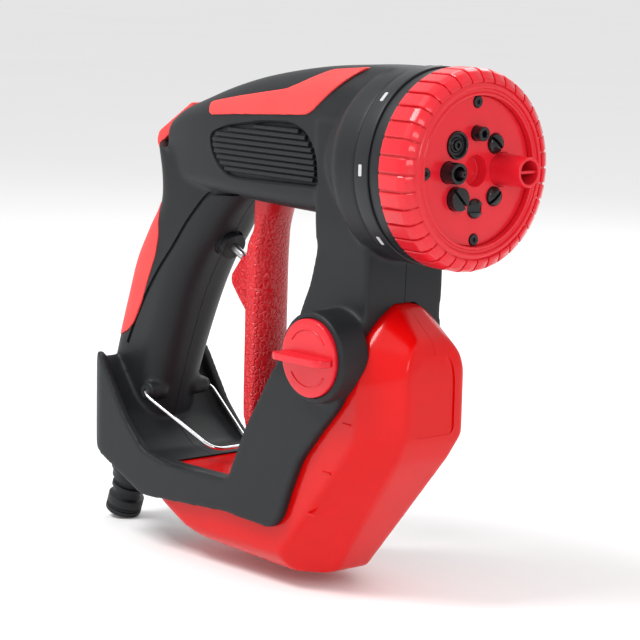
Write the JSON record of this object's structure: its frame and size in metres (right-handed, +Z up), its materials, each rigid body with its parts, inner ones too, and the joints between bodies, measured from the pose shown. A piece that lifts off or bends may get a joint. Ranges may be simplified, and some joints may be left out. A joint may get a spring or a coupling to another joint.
{
  "type": "garden spray gun",
  "caption": "Pistol-grip garden and car-wash spray gun with a turning pattern dial, squeeze trigger, wire lock and soap bottle with side cap.",
  "frame": {"origin": "centre of the hose plug's open end, where the hose connector meets it", "axes": "+X is the spray direction, +Z is up with the spray axis level, +Y is the gun's left; the soap cap is on -Y"},
  "size_m": [0.2277, 0.0794, 0.203],
  "materials": {
    "black_plastic": "satin, fine grain",
    "inner_plastic": "matte",
    "outlet_black": "gloss",
    "red_plastic": "gloss",
    "trigger_red": "leather grain",
    "tank_red": "translucent gloss",
    "soft_red": "matte",
    "rubber": "matte",
    "steel": "satin",
    "chrome": "polished",
    "clear_tube": "gloss"
  },
  "bodies": {
    "gun": {"left_shell": "black_plastic", "right_shell": "black_plastic", "left_shoulder_inlay": "soft_red", "right_shoulder_inlay": "soft_red", "left_grille": "black_plastic", "right_grille": "black_plastic", "rear_grip": "soft_red", "shell_screws": "steel", "inlet_nut": "black_plastic", "hose_plug": "black_plastic", "plug_seal": "rubber", "inlet_filter": "steel", "supply_tube": "inner_plastic", "valve_body": "inner_plastic", "gland_nut": "black_plastic", "gland_seal": "rubber", "valve_spring": "steel", "delivery_tube": "inner_plastic", "head_plate": "inner_plastic", "port_seal": "rubber", "detent_plunger": "steel", "detent_spring": "steel", "trigger_pin": "steel", "wire_bushes": "inner_plastic", "bottle": "tank_red", "fill_gasket": "rubber", "soap_grommet": "rubber", "soap_tube": "clear_tube"},
    "dial": {"dial_ring": "red_plastic", "dial_face": "red_plastic", "dial_rotor": "red_plastic", "trim_ring": "black_plastic", "pattern_ring": "black_plastic", "face_screws": "outlet_black", "jet_outlet": "outlet_black", "shower_outlet": "outlet_black", "foam_tube": "red_plastic", "angle_outlet": "outlet_black", "soaker_outlet": "outlet_black", "flat_outlet": "outlet_black", "cone_outlet": "outlet_black", "mist_outlet": "outlet_black"},
    "trigger_lever": {"trigger": "trigger_red"},
    "stem": {"valve_stem": "steel", "valve_poppet": "rubber"},
    "lock": {"wire_lock": "chrome"},
    "cap": {"fill_cap": "red_plastic"}
  },
  "joints": [
    {"name": "dial_turn", "type": "hinge", "parent": "gun", "child": "dial", "pos_m": [0.18705, 0, 0.16356], "axis": [1, 0, 0], "continuous": true},
    {"name": "trigger_squeeze", "type": "hinge", "parent": "gun", "child": "trigger_lever", "pos_m": [0.10092, 0, 0.1479], "axis": [0, 1, 0], "range_deg": [0, 8], "stiffness_Nm_per_rad": 1.2, "springref_deg": -6},
    {"name": "stem_push", "type": "slide", "parent": "gun", "child": "stem", "axis": [-0.9063, 0, 0.4226], "range_m": [0, 0.00559], "deforming": ["valve_spring"]},
    {"name": "lock_swing", "type": "hinge", "parent": "gun", "child": "lock", "pos_m": [0.03567, 0, 0.05872], "axis": [0, -1, 0], "range_deg": [0, 62]},
    {"name": "cap_turn", "type": "hinge", "parent": "gun", "child": "cap", "pos_m": [0.15921, -0.03306, 0.09222], "axis": [0, -1, 0], "range_deg": [0, 90]}
  ],
  "couplings": [
    {"joint": "stem_push", "follows": "trigger_squeeze", "m_per_rad": 0.039878}
  ]
}
